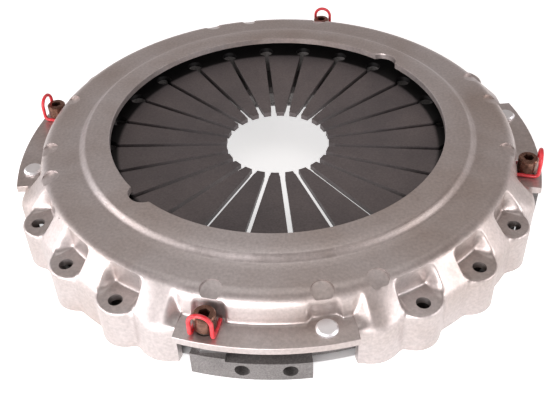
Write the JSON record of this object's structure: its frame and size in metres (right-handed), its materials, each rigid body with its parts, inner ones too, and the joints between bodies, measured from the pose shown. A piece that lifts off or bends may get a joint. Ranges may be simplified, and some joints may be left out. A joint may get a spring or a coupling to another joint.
{
  "type": "truck clutch cover assembly",
  "caption": "Pressed clutch cover with slotted diaphragm spring, cast pressure plate on leaf straps and red wire transport clips.",
  "frame": {"origin": "on the clutch axis, in the plane of the skirt's lower edge", "axes": "+Z along the clutch axis towards the release side, +X and +Y through the middles of two strap tabs"},
  "size_m": [0.475, 0.475, 0.0645],
  "materials": {
    "cover_steel": "bare pressed sheet, satin",
    "spring_steel": "hardened and oiled, dark",
    "wire_steel": "drawn wire",
    "plate_iron": "as cast, ground on its friction face",
    "strap_steel": "rolled spring sheet",
    "rivet_steel": "pressed, satin",
    "screw_steel": "browned",
    "sleeve_steel": "turned",
    "clip_red": "red gloss paint"
  },
  "bodies": {
    "cover": {"cover": "cover_steel", "fulcrum_ring": "wire_steel", "diaphragm_spring": "spring_steel", "strap_right_lower": "strap_steel", "strap_right_middle": "strap_steel", "strap_right_upper": "strap_steel", "strap_rear_lower": "strap_steel", "strap_rear_middle": "strap_steel", "strap_rear_upper": "strap_steel", "strap_left_lower": "strap_steel", "strap_left_middle": "strap_steel", "strap_left_upper": "strap_steel", "strap_front_lower": "strap_steel", "strap_front_middle": "strap_steel", "strap_front_upper": "strap_steel", "strap_rivet_right": "rivet_steel", "strap_rivet_rear": "rivet_steel", "strap_rivet_left": "rivet_steel", "strap_rivet_front": "rivet_steel"},
    "pressure_plate": {"pressure_plate": "plate_iron", "lug_screw_right": "screw_steel", "lug_screw_rear": "screw_steel", "lug_screw_left": "screw_steel", "lug_screw_front": "screw_steel", "spacer_sleeve_right": "sleeve_steel", "spacer_sleeve_rear": "sleeve_steel", "spacer_sleeve_left": "sleeve_steel", "spacer_sleeve_front": "sleeve_steel"},
    "clip_right": {"transport_clip_right": "clip_red"},
    "clip_rear": {"transport_clip_rear": "clip_red"},
    "clip_left": {"transport_clip_left": "clip_red"},
    "clip_front": {"transport_clip_front": "clip_red"}
  },
  "joints": [
    {"name": "plate_lift", "type": "slide", "parent": "cover", "child": "pressure_plate", "axis": [0, 0, 1], "range_m": [0, 0.003], "deforming": ["diaphragm_spring", "strap_right_lower", "strap_right_middle", "strap_right_upper", "strap_rear_lower", "strap_rear_middle", "strap_rear_upper", "strap_left_lower", "strap_left_middle", "strap_left_upper", "strap_front_lower", "strap_front_middle", "strap_front_upper"]},
    {"name": "clip_right_pull", "type": "slide", "parent": "cover", "child": "clip_right", "axis": [0.9816, -0.1908, 0], "range_m": [0, 0.035]},
    {"name": "clip_rear_pull", "type": "slide", "parent": "cover", "child": "clip_rear", "axis": [0.1908, 0.9816, 0], "range_m": [0, 0.035]},
    {"name": "clip_left_pull", "type": "slide", "parent": "cover", "child": "clip_left", "axis": [-0.9816, 0.1908, 0], "range_m": [0, 0.035]},
    {"name": "clip_front_pull", "type": "slide", "parent": "cover", "child": "clip_front", "axis": [-0.1908, -0.9816, 0], "range_m": [0, 0.035]}
  ]
}
